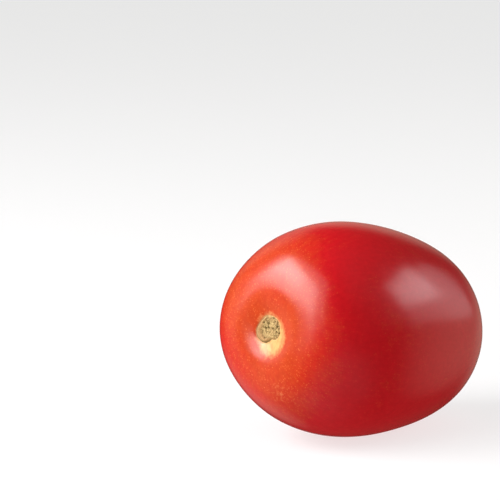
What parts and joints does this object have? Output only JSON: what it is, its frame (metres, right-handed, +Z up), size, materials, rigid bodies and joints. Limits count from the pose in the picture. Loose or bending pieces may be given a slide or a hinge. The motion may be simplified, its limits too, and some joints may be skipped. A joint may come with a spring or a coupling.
{
  "type": "tomato",
  "caption": "Whole ripe plum tomato lying on its side on a small flat spot, with a shallow dimple and a corky stem scar at one end.",
  "frame": {"origin": "middle of the small flat spot on the underside that the fruit rests on", "axes": "+Z up, out of the resting surface; +X along the surface towards the stem end; +Y to the side, completing a right-handed frame"},
  "size_m": [0.0669, 0.05, 0.0503],
  "materials": {
    "skin": "smooth waxy tomato skin, orange-red and finely speckled at the stem end and deep red towards the blossom end, with a dull tan corky scar where the stem was"
  },
  "bodies": {
    "root": {"tomato": "skin"}
  },
  "joints": []
}
